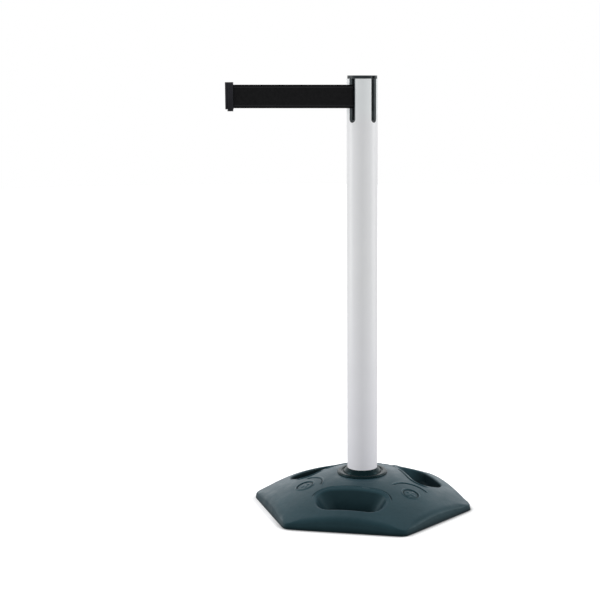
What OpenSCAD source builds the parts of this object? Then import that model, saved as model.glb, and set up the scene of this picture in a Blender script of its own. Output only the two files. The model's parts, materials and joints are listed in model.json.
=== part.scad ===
// Retractable belt stanchion: a white post on a domed rubber base, with a belt
// cartridge in its head. Millimetres, +Z up. The origin is on the floor, on the
// post's axis. The belt leaves the head at -X; receivers face -Y, +X and +Y.

/* [Base] */
// Distance from the axis to the three sides of the base with hand holds
hold_side = 209; // [207:0.5:212]
// Distance from the axis to the three plain sides
plain_side = 216.5; // [214:0.5:220]
// Height of the flat land on top of the dome
dome_h = 70; // [68:1:72]
// How far the dome falls from the land to the corners
dome_fall = 60; // [58:1:62]

/* [Post] */
// Outside diameter of the post
post_od = 66; // [65.8:0.1:66.2]
// Wall thickness of the post
post_wall = 2.5; // [2.3:0.1:2.6]
// Overall height, to the top of the cap
total_h = 938; // [936:1:1000]

/* [Belt] */
// Width of the webbing
belt_w = 49; // [48:0.5:50]
// Thickness of the webbing
belt_t = 0.5; // [0.4:0.05:0.6]
// Length of webbing drawn out, from the mouth to the belt end
belt_out = 251; // [120:1:290]
// Direction of the drawn belt in plan, degrees from +X
belt_dir = 130.5; // [128:0.5:232]

/* [Hidden] */
$fn = 64;
eps = 0.05;
// Gap left between faces that rest on each other
seat = 0.03;

// Post and cap
post_r = post_od / 2;
bore_r = post_r - post_wall;
cap_h = 6.8;
cap_r = post_r - 1.2;
post_top = total_h - cap_h;
post_foot = 36;

// Base fittings, from the floor up
land_r = 58;
dome_reach = 188;
dome_curve = 1.31;
hex_power = 60;
side_lean = 0.2;
plate_r = 70;
plate_h = 6;
plate_z = 14;
bolt_r = 7.9;
bolt_head_h = 10;
washer_h = 2.5;
head_z = plate_z - washer_h - bolt_head_h;
collar_r = 55;
collar_h = 13;
collar_lip_h = 5;
groove_depth = 5;
hold_angles = [-150, -30, 90];
hold_at = 137.5;
hold_wide = 58;
hold_long = 112;
hold_corner = 24;
hold_floor = 14;
hold_top = 54;
hold_flare = [1.25, 1.45];

// Head: slots, channels and belt levels
slot_w = 16;
slot_foot = post_top - 91.8;
trim_w = slot_w - 0.3;
chan_in = 22;
cavity_in = 23.2;
cavity_out = 28.8;
cavity_w = 11;
throat_w = 5.5;
flare_in = 30;
flare_w = 14;
stop_z = post_top - 68.6;
belt_mid = post_top - 36.9;
belt_lo = belt_mid - belt_w / 2;
belt_hi = belt_mid + belt_w / 2;

// Cartridge, from the top down
can_r = 21.8;
can_bore = 20.6;
lid_z = post_top - 9;
lid_h = 6;
floor_z = post_top - 67;
floor_h = 2;
flange_z = slot_foot - 6;
flange_h = 5.5;
can_flange_r = bore_r - 0.3;
column_at = 25;
column_r = 3.6;
cover_r = 24;
brake_z = flange_z - 23;
brake_bore = 23.5;
brake_wall = 1.8;
brake_floor = 3;
brake_screw_at = 27.8;

// Turning parts
spindle_r = 3;
spindle_lo = brake_z + 2;
spindle_hi = lid_z + 3.5;
core_r = 6.5;
coil_r = 18.8;
drum_r = 20.3;
pin_z = belt_lo + 4;
arbor_r = 6;
spring_z = flange_z + 10.4;
spring_h = 19;
spring_turns = 8;
spring_t = 0.3;
shoe_out = 22.2;
shoe_in = 13.5;
shoe_pivot = 17.8;
shoe_z = brake_z + 10.5;
shoe_h = 8;

// Webbing inside the head: pivot in the mouth, tangent line from the coil
pivot_r = 30.5;
lead_off = coil_r + belt_t / 2 + 0.02;
lead_turn = acos(lead_off / pivot_r);
lead_len = pivot_r * sin(lead_turn);

// Belt end, measured outward from the mouth
body_l = 8;
neck_l = 5.1;
tee_l = 3.9;
body_w = 8.5;
neck_w = 4.2;
tee_w = 10.2;
end_lo = belt_lo - 2.4;
end_hi = belt_hi + 5.2;
split_w = 1;
hem_at = belt_out + 4.2;
end_pin_r = 1.5;
button_h = 4;
stem_at = belt_out + body_l + 2.6;

// ---------- shared shapes ----------

module tube(r_out, r_in, h) {
    difference() {
        cylinder(r = r_out, h = h);
        translate([0, 0, -1]) cylinder(r = r_in, h = h + 2);
    }
}

// Turns a child that is drawn along +X onto the belt's line out of the mouth.
module along_belt() {
    translate([-pivot_r, 0, 0]) rotate([0, 0, belt_dir]) children();
}

// A box along the belt: from a to b outward, across from w0 to w1.
module belt_box(a, b, w0, w1, z0, z1) {
    translate([a, w0, z0]) cube([b - a, w1 - w0, z1 - z0]);
}

module round_rect(x0, x1, half, r) {
    translate([x0 + r, -half]) square([x1 - x0 - 2 * r, 2 * half]);
    translate([x0, -half + r]) square([x1 - x0, 2 * (half - r)]);
    for (x = [x0 + r, x1 - r], y = [-half + r, half - r]) translate([x, y]) circle(r = r);
}

module screw(r, length, head_r, head_h) {
    cylinder(r = r, h = length + eps);
    translate([0, 0, length]) cylinder(r = head_r, h = head_h);
}

// Four stations between the slots.
module at_columns(radius, z) {
    for (a = [45 : 90 : 315]) rotate([0, 0, a]) translate([radius, 0, z]) children();
}

// ---------- base ----------

// Distance from the axis to the side that faces direction t.
function side_at(t) = (t - 90) % 120 == 0 ? hold_side : plain_side;

// Radius of the hexagon in direction a, its corners slightly rounded.
function hex_radius(a) =
    let (terms = [for (t = [30 : 60 : 330]) pow(max(0, cos(a - t)) / side_at(t), hex_power)])
    pow(terms * [1, 1, 1, 1, 1, 1], -1 / hex_power);

// The corners lie this far from even sixths, nearer the plain sides.
corner_turn = 30 - atan((hold_side - plain_side / 2) / (plain_side * sin(60)));

dome_steps = 14;
base_sides = 72;

// Height of the dome at radius r.
function dome_z(r) = dome_h - dome_fall * pow((r - land_r) / dome_reach, dome_curve);

// The hexagon in plan, with points at its corners.
module base_plan() {
    polygon([
        for (i = [0 : base_sides - 1])
            let (even = i * 360 / base_sides, a = even + corner_turn * cos(3 * even))
            hex_radius(a) * [cos(a), sin(a)]
    ]);
}

// A round dome inside a hexagon whose sides lean inward.
module dome() {
    rim = land_r + dome_reach + 4;
    slope = [for (k = [0 : dome_steps]) land_r + (rim - land_r) * k / dome_steps];
    intersection() {
        rotate_extrude($fn = base_sides)
            polygon(concat([[0, 0], [0, dome_h]], [for (r = slope) [r, dome_z(r)]], [[rim, 0]]));
        linear_extrude(dome_h + 1, scale = 1 - (dome_h + 1) * side_lean / plain_side) base_plan();
    }
}

module hold_outline() {
    round_rect(-hold_wide / 2, hold_wide / 2, hold_long / 2, hold_corner, $fn = 24);
}

// Recess with sloping walls for a hand.
module hand_hold() {
    translate([hold_at, 0, hold_floor])
        linear_extrude(hold_top - hold_floor, scale = hold_flare, slices = 1, segments = 1)
        hold_outline();
    translate([hold_at, 0, hold_top - eps]) linear_extrude(30) scale(hold_flare) hold_outline();
}

module rubber_base() {
    color("darkslategray") difference() {
        dome();
        for (a = hold_angles) rotate([0, 0, a]) hand_hold();
        translate([0, 0, -1]) cylinder(r = plate_r + 0.5, h = plate_z + plate_h + 1);
        translate([0, 0, 10]) cylinder(r = bolt_r + 0.6, h = dome_h);
        translate([0, 0, post_foot]) cylinder(r = post_r + 0.2, h = dome_h);
        translate([0, 0, dome_h - groove_depth - 0.2]) tube(45.2, 39.8, groove_depth + 1);
    }
}

module base_plate() {
    color("silver") translate([0, 0, plate_z]) tube(plate_r, bolt_r + 0.6, plate_h);
}

module base_bolt() {
    color("gray") {
        translate([0, 0, head_z]) cylinder(r = 24 / sqrt(3), h = bolt_head_h, $fn = 6);
        translate([0, 0, head_z + bolt_head_h - eps]) cylinder(r = bolt_r, h = 47);
    }
}

module lock_washer() {
    color("silver") translate([0, 0, plate_z - washer_h]) difference() {
        tube(13.5, bolt_r + 0.3, washer_h);
        rotate([18, 0, 0]) translate([0, -0.8, -2]) cube([20, 1.6, 8]);
    }
}

// Trim ring on the land: a cone against the post, a groove and an outer lip.
module base_collar() {
    in_r = post_r + 0.3;
    color("black") translate([0, 0, dome_h + seat]) {
        rotate_extrude() polygon([
            [in_r, 0], [collar_r, 0], [collar_r, 2.5], [collar_r - 2, collar_lip_h],
            [46.5, collar_lip_h], [45.8, 2.5], [42, 2.5], [41.4, collar_lip_h],
            [in_r + 1.2, collar_h], [in_r, collar_h]
        ]);
        translate([0, 0, -groove_depth]) tube(45, 40, groove_depth + eps);
    }
}

// ---------- post ----------

// Slot tool: a bar along +X with a round lower end, open at the top.
module slot_bar(w, foot, inner) {
    translate([inner, -w / 2, foot + w / 2]) cube([50, w, 200]);
    translate([inner, 0, foot + w / 2]) rotate([0, 90, 0]) cylinder(r = w / 2, h = 50);
}

module post_tube() {
    color("white") difference() {
        translate([0, 0, post_foot]) tube(post_r, bore_r, post_top - post_foot);
        for (a = [0 : 90 : 270]) rotate([0, 0, a]) slot_bar(slot_w, slot_foot, 20);
    }
}

module post_plug() {
    color("dimgray") translate([0, 0, post_foot + seat]) difference() {
        cylinder(r = bore_r - 0.1, h = 34);
        translate([0, 0, -1]) cylinder(r = 12.05, h = 25.1);
        translate([0, 0, 20]) cylinder(r = 9, h = 20);
        for (a = [0 : 60 : 300]) rotate([0, 0, a]) translate([21, 0, 6]) cylinder(r = 5, h = 40);
    }
}

module thread_insert() {
    color("goldenrod") translate([0, 0, post_foot]) tube(12, bolt_r + 0.1, 24);
}

// ---------- channels in the four slots ----------

// Outer body of a channel, radial along +X, reaching in to radius inner.
module channel_blank(inner) {
    intersection() {
        translate([0, 0, slot_foot - 1]) tube(post_r, inner, post_top - slot_foot + 1);
        slot_bar(trim_w, slot_foot + 0.15, 5);
        translate([0, -20, slot_foot]) cube([60, 40, post_top - slot_foot]);
    }
    intersection() {
        translate([0, 0, slot_foot + 0.5]) tube(bore_r - 0.15, 27, post_top - slot_foot - 0.5);
        translate([10, -10, 0]) cube([40, 20, 2000]);
    }
}

// Throat with flared lips, from radius inner outward.
module mouth(inner, foot) {
    translate([0, 0, foot]) linear_extrude(300) polygon([
        [inner, -throat_w / 2], [flare_in, -throat_w / 2], [post_r + 0.5, -flare_w / 2],
        [post_r + 3, -flare_w / 2], [post_r + 3, flare_w / 2], [post_r + 0.5, flare_w / 2],
        [flare_in, throat_w / 2], [inner, throat_w / 2]
    ]);
}

// Holds the T-shaped end of another post's belt, which slides in from above.
module receiver(turn) {
    color("dimgray") rotate([0, 0, turn]) difference() {
        channel_blank(chan_in);
        mouth(cavity_out - 1, slot_foot + 4);
        translate([cavity_in, -cavity_w / 2, stop_z])
            cube([cavity_out - cavity_in, cavity_w, 300]);
    }
}

// Funnel that the webbing runs out through.
module exit_guide() {
    color("dimgray") rotate([0, 0, 180]) difference() {
        channel_blank(25.5);
        mouth(cavity_out - 1, slot_foot + 4);
        translate([20, -5.5, floor_z + 3]) cube([cavity_out - 20, 11, lid_z - floor_z - 4]);
    }
}

// ---------- cartridge housing ----------

module cassette_body() {
    color("black") difference() {
        union() {
            translate([0, 0, flange_z]) cylinder(r = can_flange_r, h = flange_h);
            translate([0, 0, flange_z]) cylinder(r = can_r, h = lid_z - flange_z);
            at_columns(column_at, flange_z + 1) cylinder(r = column_r, h = lid_z - flange_z - 1);
        }
        translate([0, 0, floor_z + floor_h]) cylinder(r = can_bore, h = 100);
        translate([0, 0, flange_z - 1]) cylinder(r = can_bore, h = floor_z - flange_z + 1);
        translate([0, 0, flange_z - 1]) cylinder(r = cover_r + 0.1, h = 3.5);
        translate([0, 0, floor_z - 1]) cylinder(r = 7.5, h = 5);
        translate([-30, -3, belt_lo - 0.6]) cube([20, 16, belt_w + 1.2]);
        at_columns(column_at, lid_z - 12) cylinder(r = 1.3, h = 20);
        at_columns(brake_screw_at, flange_z - 1) cylinder(r = 1.3, h = 5.8);
    }
}

module cassette_lid() {
    color("black") difference() {
        translate([0, 0, lid_z + seat]) union() {
            cylinder(r = can_r, h = lid_h - seat);
            at_columns(column_at, 0) cylinder(r = column_r, h = 3);
        }
        translate([0, 0, lid_z - 1]) cylinder(r = 5.02, h = 5);
        at_columns(column_at, lid_z - 1) cylinder(r = 1.7, h = 10);
        at_columns(column_at, lid_z + 3) cylinder(r = 2.8, h = 10);
        for (x = [-13, 13]) translate([x, 0, lid_z + 1]) cylinder(r = 1.85, h = 10);
    }
}

module lid_screws() {
    color("silver") at_columns(column_at, lid_z - 9) screw(1.25, 12.05, 2.6, 1.8);
}

module spring_cover() {
    color("black") translate([0, 0, flange_z]) difference() {
        union() {
            cylinder(r = cover_r, h = 2.4);
            cylinder(r = can_bore - 0.1, h = 9);
        }
        translate([0, 0, -1]) cylinder(r = 3.6, h = 12);
    }
}

module brake_housing() {
    color("black") difference() {
        union() {
            translate([0, 0, brake_z])
                cylinder(r = brake_bore + brake_wall, h = flange_z - brake_z - 0.05);
            translate([0, 0, flange_z - 3.05]) cylinder(r = can_flange_r, h = 3);
        }
        translate([0, 0, brake_z + brake_floor]) cylinder(r = brake_bore, h = 40);
        translate([0, 0, brake_z - 1]) cylinder(r = 5.02, h = 10);
        at_columns(brake_screw_at, flange_z - 5) cylinder(r = 1.6, h = 10);
    }
}

module brake_screws() {
    color("silver") at_columns(brake_screw_at, flange_z + 4) rotate([180, 0, 0])
        screw(1.25, 7.1, 2.1, 1.6);
}

module top_cap() {
    color("darkslategray") difference() {
        translate([0, 0, post_top]) union() {
            rotate_extrude() polygon([
                [0, 0], [cap_r, 0], [cap_r, cap_h - 1], [cap_r - 1, cap_h], [0, cap_h]
            ]);
            translate([0, 0, lid_z + lid_h + seat - post_top]) cylinder(r = 20, h = 6);
        }
        for (a = [-90 : 90 : 90]) rotate([0, 0, a]) {
            mouth(cavity_out - 1, post_top - 1);
            translate([cavity_in, -cavity_w / 2, post_top - 1])
                cube([cavity_out - cavity_in, cavity_w, 20]);
        }
        for (x = [-13, 13]) translate([x, 0, lid_z]) {
            cylinder(r = 2.1, h = 30);
            translate([0, 0, total_h - lid_z - 2.6]) cylinder(r = 4, h = 5);
        }
    }
}

module cap_screws() {
    color("silver") for (x = [-13, 13]) translate([x, 0, lid_z + 1.5])
        screw(1.8, total_h - lid_z - 4.1, 3.8, 2.2);
}

// ---------- turning parts ----------

module top_bush() {
    color("goldenrod") translate([0, 0, lid_z]) tube(5, spindle_r + 0.05, 3.9);
}

module bottom_bush() {
    color("goldenrod") translate([0, 0, brake_z]) tube(5, spindle_r + 0.05, 5);
}

module spindle() {
    color("silver") difference() {
        translate([0, 0, spindle_lo]) cylinder(r = spindle_r, h = spindle_hi - spindle_lo);
        translate([-10, 0, pin_z]) rotate([0, 90, 0]) cylinder(r = 1.27, h = 20);
    }
}

module belt_drum() {
    color("dimgray") difference() {
        union() {
            translate([0, 0, belt_lo - 2.2]) cylinder(r = drum_r, h = 1.7);
            translate([0, 0, belt_lo - 1]) cylinder(r = core_r, h = belt_w + 2);
            translate([0, 0, belt_hi + 0.5]) cylinder(r = drum_r, h = 1.5);
        }
        translate([0, 0, belt_lo - 5]) cylinder(r = spindle_r + 0.02, h = belt_w + 10);
        translate([-10, 0, pin_z]) rotate([0, 90, 0]) cylinder(r = 1.27, h = 20);
    }
}

module drum_pin() {
    color("silver") translate([-6.2, 0, pin_z]) rotate([0, 90, 0]) cylinder(r = 1.25, h = 12.4);
}

// The webbing still wound on the drum.
module belt_coil() {
    color("black") translate([0, 0, belt_lo]) tube(coil_r, core_r + 0.05, belt_w);
}

// Webbing from the coil's tangent point to the mouth.
module belt_lead() {
    color("black") rotate([0, 0, 180 - lead_turn])
        translate([lead_off - belt_t / 2, 0, belt_lo])
        cube([belt_t, lead_len - 0.5, belt_w]);
}

module spring_arbor() {
    color("gray") translate([0, 0, spring_z - 1]) difference() {
        cylinder(r = arbor_r, h = spring_h + 2);
        translate([0, 0, -1]) cylinder(r = spindle_r + 0.02, h = spring_h + 4);
        translate([4, -0.4, -1]) cube([5, 0.8, spring_h + 4]);
    }
}

spring_steps = 30;
spring_pitch = (can_bore - 1 - arbor_r - 1) / spring_turns;
function spring_point(i, side) =
    let (turn = i / spring_steps, r = arbor_r + 1 + spring_pitch * turn + side * spring_t / 2)
    [r * cos(360 * turn), r * sin(360 * turn)];

// Flat spiral power spring.
module retraction_spring() {
    last = spring_turns * spring_steps;
    outline = concat(
        [for (i = [0 : last]) spring_point(i, 1)],
        [for (i = [last : -1 : 0]) spring_point(i, -1)]);
    color("lightgray") translate([0, 0, spring_z]) linear_extrude(spring_h) polygon(outline);
}

module brake_rotor() {
    color("gray") translate([0, 0, shoe_z - 2.5]) difference() {
        union() {
            cylinder(r = 21, h = 2);
            cylinder(r = 6, h = 2 + shoe_h);
            for (a = [0, 180]) rotate([0, 0, a]) translate([shoe_pivot, 0, 1])
                cylinder(r = 1.5, h = shoe_h + 1);
        }
        translate([0, 0, -1]) cylinder(r = spindle_r + 0.02, h = 20);
    }
}

// Curved shoe on a pivot; it swings outward onto the housing when the drum spins fast.
module brake_shoe(turn) {
    color("brown") rotate([0, 0, turn]) translate([0, 0, shoe_z]) difference() {
        intersection() {
            tube(shoe_out, shoe_in, shoe_h);
            rotate([0, 0, 60]) translate([0, 0, -1]) linear_extrude(shoe_h + 2) polygon([
                [0, 0], [60 * cos(70), -60 * sin(70)], [80, -60 * sin(70)],
                [80, 60 * sin(70)], [60 * cos(70), 60 * sin(70)]
            ]);
        }
        translate([shoe_pivot, 0, -1]) cylinder(r = 1.55, h = shoe_h + 2);
    }
}

// ---------- drawn webbing and its end ----------

module belt() {
    color("black") along_belt()
        belt_box(0.3, belt_out + 1.9, -belt_t / 2, belt_t / 2, belt_lo, belt_hi);
}

// Space inside the belt end for the webbing, its loop and its pin.
module hem_space() {
    belt_box(belt_out - 1, hem_at, -0.6, 0.6, belt_lo - 0.3, belt_hi + 0.3);
    translate([hem_at, 0, belt_lo - 0.3]) cylinder(r = end_pin_r + belt_t + 0.35, h = belt_w + 0.6);
    translate([hem_at, 0, belt_lo - 0.5]) cylinder(r = end_pin_r + 0.02, h = belt_w + 2.2);
}

module button_pocket() {
    belt_box(belt_out + 0.6, belt_out + body_l + 1, -3.3, 3.3, end_lo - 1, end_lo + 1.7);
}

module end_screw_holes(r) {
    for (a = [belt_out + 2.1, belt_out + 5.9])
        translate([a, -2, belt_hi + 2.95]) rotate([-90, 0, 0]) cylinder(r = r, h = 10);
}

// T-shaped bar that hooks into a receiver, with half of the webbing clamp.
module belt_end_body() {
    neck_from = belt_out + body_l;
    tee_from = neck_from + neck_l;
    color("black") along_belt() difference() {
        union() {
            belt_box(belt_out, neck_from, -body_w / 2, split_w, end_lo, end_hi);
            belt_box(neck_from - eps, tee_from + eps, -neck_w / 2, neck_w / 2, end_lo + 2.8, end_hi);
            belt_box(tee_from, tee_from + tee_l, -tee_w / 2, tee_w / 2, end_lo, end_hi);
        }
        hem_space();
        button_pocket();
        end_screw_holes(0.95);
        translate([stem_at, 0, end_lo]) cylinder(r = 1.25, h = 24);
    }
}

module belt_end_cover() {
    color("black") along_belt() difference() {
        belt_box(belt_out, belt_out + body_l - eps, split_w + eps, body_w / 2, end_lo, end_hi);
        hem_space();
        button_pocket();
        end_screw_holes(1.1);
        for (a = [belt_out + 2.1, belt_out + 5.9])
            translate([a, body_w / 2 - 1.3, belt_hi + 2.95]) rotate([-90, 0, 0])
                cylinder(r = 1.75, h = 5);
    }
}

module belt_end_pin() {
    color("silver") along_belt()
        translate([hem_at, 0, belt_lo - 0.4]) cylinder(r = end_pin_r, h = belt_w + 2);
}

// Loop of webbing round the pin.
module belt_hem() {
    color("black") along_belt() translate([hem_at, 0, belt_lo])
        tube(end_pin_r + belt_t + 0.03, end_pin_r + 0.03, belt_w);
}

module belt_end_screws() {
    color("silver") along_belt() for (a = [belt_out + 2.1, belt_out + 5.9])
        translate([a, -1.8, belt_hi + 2.95]) rotate([-90, 0, 0]) screw(0.9, 4.8, 1.6, 0.9);
}

// Sprung catch under the belt end, pressed upward to let go.
module lock_button() {
    color("black") along_belt() {
        belt_box(belt_out + 0.8, belt_out + body_l + eps, -3, 3, end_lo - button_h, end_lo - 0.3);
        belt_box(belt_out + body_l, belt_out + body_l + neck_l - 0.4, -2, 2,
            end_lo - button_h, end_lo + 0.5);
        translate([stem_at, 0, end_lo]) cylinder(r = 1.1, h = 10);
    }
}

coil_wire = 0.22;
coil_mid = 0.85;
coil_turns = 7;
coil_steps = 12;
coil_sides = 6;
coil_z = end_lo + 10.25;
coil_h = 13.2;
function coil_point(i, k) =
    let (turn = i / coil_steps, b = k * 360 / coil_sides,
        r = coil_mid + coil_wire * cos(b),
        z = coil_h * turn / coil_turns + coil_wire * sin(b))
    [r * cos(360 * turn), r * sin(360 * turn), z];

// Small compression spring above the button's stem.
module lock_spring() {
    last = coil_turns * coil_steps;
    n = coil_sides;
    points = [for (i = [0 : last], k = [0 : n - 1]) coil_point(i, k)];
    sides = [
        for (i = [0 : last - 1], k = [0 : n - 1]) let (j = (k + 1) % n)
            each [[i * n + k, i * n + j, (i + 1) * n + j], [i * n + k, (i + 1) * n + j, (i + 1) * n + k]]
    ];
    ends = [[for (k = [n - 1 : -1 : 0]) k], [for (k = [0 : n - 1]) last * n + k]];
    color("silver") along_belt() translate([stem_at, 0, coil_z])
        polyhedron(points, concat(sides, ends), convexity = 10);
}

rubber_base();
base_plate();
base_bolt();
lock_washer();
base_collar();
post_tube();
post_plug();
thread_insert();
cassette_body();
cassette_lid();
lid_screws();
spring_cover();
brake_housing();
brake_screws();
exit_guide();
receiver(-90);  // receiver_front
receiver(0);  // receiver_right
receiver(90);  // receiver_back
top_cap();
cap_screws();
top_bush();
bottom_bush();
spindle();
belt_drum();
drum_pin();
belt_coil();
belt_lead();
spring_arbor();
retraction_spring();
brake_rotor();
brake_shoe(0);  // brake_shoe_a
brake_shoe(180);  // brake_shoe_b
belt();
belt_end_body();
belt_end_cover();
belt_end_pin();
belt_hem();
belt_end_screws();
lock_button();
lock_spring();
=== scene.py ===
import json
import math

import bmesh
import bpy
import numpy as np
from mathutils import Vector
from mathutils.geometry import delaunay_2d_cdt
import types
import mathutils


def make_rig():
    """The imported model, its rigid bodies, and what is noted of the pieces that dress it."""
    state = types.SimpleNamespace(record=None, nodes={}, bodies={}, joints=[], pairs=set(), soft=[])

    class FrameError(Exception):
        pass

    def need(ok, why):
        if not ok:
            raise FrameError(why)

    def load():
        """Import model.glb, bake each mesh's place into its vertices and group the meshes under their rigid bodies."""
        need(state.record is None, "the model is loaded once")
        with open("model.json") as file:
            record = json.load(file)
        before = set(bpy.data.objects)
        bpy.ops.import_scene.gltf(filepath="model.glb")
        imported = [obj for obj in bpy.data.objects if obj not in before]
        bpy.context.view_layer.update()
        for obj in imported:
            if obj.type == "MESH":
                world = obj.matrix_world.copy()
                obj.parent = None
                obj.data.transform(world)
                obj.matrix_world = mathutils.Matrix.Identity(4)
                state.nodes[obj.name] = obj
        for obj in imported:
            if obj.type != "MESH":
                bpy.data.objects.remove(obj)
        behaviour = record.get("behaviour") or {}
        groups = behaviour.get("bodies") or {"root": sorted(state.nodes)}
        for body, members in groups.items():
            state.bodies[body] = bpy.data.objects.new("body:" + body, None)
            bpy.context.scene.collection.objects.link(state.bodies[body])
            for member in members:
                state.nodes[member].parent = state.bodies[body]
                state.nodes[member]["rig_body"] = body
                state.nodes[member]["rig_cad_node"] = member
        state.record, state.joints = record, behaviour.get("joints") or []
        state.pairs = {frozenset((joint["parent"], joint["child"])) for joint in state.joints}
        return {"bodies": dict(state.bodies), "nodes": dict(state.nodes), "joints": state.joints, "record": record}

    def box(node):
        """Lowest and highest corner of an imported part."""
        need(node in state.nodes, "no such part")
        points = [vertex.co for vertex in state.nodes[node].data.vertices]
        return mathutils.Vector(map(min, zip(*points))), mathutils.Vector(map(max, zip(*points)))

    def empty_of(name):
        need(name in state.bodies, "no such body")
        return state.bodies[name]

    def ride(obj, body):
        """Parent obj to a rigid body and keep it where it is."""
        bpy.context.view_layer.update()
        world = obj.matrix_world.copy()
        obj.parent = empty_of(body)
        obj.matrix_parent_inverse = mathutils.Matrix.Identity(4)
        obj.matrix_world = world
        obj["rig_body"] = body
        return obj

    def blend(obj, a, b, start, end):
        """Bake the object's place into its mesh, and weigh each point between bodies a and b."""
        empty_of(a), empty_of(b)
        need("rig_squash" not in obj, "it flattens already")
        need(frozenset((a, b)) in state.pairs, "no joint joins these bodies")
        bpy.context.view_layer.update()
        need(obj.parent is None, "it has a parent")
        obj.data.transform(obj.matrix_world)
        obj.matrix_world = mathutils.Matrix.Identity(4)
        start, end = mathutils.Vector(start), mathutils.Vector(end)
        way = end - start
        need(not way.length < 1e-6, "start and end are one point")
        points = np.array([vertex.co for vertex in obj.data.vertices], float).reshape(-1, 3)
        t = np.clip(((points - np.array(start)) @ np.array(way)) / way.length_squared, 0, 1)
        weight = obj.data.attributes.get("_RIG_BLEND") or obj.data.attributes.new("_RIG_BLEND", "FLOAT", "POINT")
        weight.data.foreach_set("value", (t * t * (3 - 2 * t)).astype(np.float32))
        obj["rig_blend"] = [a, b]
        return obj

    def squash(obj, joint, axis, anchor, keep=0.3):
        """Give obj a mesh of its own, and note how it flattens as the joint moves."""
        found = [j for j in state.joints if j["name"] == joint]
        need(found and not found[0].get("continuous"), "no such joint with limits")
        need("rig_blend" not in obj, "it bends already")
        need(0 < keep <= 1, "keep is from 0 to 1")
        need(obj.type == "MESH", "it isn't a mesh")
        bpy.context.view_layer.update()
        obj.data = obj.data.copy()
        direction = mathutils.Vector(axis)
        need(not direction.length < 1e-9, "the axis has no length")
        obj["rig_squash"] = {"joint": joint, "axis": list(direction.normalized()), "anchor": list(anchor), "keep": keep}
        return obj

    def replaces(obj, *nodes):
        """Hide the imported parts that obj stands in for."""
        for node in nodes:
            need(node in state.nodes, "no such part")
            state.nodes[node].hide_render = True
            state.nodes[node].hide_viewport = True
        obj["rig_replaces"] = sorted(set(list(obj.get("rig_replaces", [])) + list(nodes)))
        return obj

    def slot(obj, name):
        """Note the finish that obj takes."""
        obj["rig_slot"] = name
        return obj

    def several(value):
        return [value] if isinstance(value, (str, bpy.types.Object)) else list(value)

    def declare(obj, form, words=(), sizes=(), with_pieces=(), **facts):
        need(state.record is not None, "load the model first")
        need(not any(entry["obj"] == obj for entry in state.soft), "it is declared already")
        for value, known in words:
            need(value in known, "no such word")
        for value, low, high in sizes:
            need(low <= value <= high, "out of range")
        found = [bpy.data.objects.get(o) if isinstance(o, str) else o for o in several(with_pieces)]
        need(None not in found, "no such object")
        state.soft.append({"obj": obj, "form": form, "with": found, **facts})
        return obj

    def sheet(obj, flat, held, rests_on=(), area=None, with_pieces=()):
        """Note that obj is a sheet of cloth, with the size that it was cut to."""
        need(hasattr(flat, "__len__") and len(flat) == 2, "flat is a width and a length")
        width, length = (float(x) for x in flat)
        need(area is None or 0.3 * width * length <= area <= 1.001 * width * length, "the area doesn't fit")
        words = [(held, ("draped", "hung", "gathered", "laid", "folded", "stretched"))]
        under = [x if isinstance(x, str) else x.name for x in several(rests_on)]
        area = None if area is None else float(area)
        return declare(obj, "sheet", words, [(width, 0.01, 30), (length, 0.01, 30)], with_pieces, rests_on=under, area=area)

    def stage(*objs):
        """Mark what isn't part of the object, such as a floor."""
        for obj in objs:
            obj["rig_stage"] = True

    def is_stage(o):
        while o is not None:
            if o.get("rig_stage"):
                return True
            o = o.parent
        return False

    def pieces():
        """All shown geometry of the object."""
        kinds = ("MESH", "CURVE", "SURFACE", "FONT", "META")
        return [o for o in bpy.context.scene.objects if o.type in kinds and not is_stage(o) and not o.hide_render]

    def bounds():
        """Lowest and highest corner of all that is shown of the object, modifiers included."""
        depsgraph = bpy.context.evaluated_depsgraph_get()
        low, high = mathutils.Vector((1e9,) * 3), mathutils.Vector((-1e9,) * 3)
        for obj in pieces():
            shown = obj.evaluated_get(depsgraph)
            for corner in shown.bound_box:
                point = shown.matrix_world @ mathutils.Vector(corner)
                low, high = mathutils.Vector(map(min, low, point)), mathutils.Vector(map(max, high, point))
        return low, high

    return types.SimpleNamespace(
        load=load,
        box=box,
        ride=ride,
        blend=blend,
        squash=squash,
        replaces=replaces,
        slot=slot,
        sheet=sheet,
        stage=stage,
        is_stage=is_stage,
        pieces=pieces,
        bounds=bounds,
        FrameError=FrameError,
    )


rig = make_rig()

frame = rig.load()
cad_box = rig.bounds()
nodes = frame["nodes"]
MM = 0.001

# -------- sizes, in millimetres


def low(node):
    return [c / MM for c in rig.box(node)[0]]


def high(node):
    return [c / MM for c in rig.box(node)[1]]


TOTAL_H = high("top_cap")[2]
POST_TOP = high("post_tube")[2]
POST_FOOT = low("post_tube")[2]
POST_R = high("post_tube")[0]
POST_WALL = 2.5
BELT_LO, BELT_HI = low("belt")[2], high("belt")[2]
BELT_W = BELT_HI - BELT_LO
BELT_T = 0.5
BELT_OUT = 251.0
BELT_DIR = math.radians(130.5)
MOUTH = 30.5
SLOT_HALF = 8.0
SLOT_FOOT = POST_TOP - 91.8
COIL_R, CORE_R = 18.8, 6.55
CAVITY_IN, CAVITY_OUT, CAVITY_HALF, THROAT_HALF = 23.2, 28.8, 5.5, 2.75
STOP_Z = POST_TOP - 68.6

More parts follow.
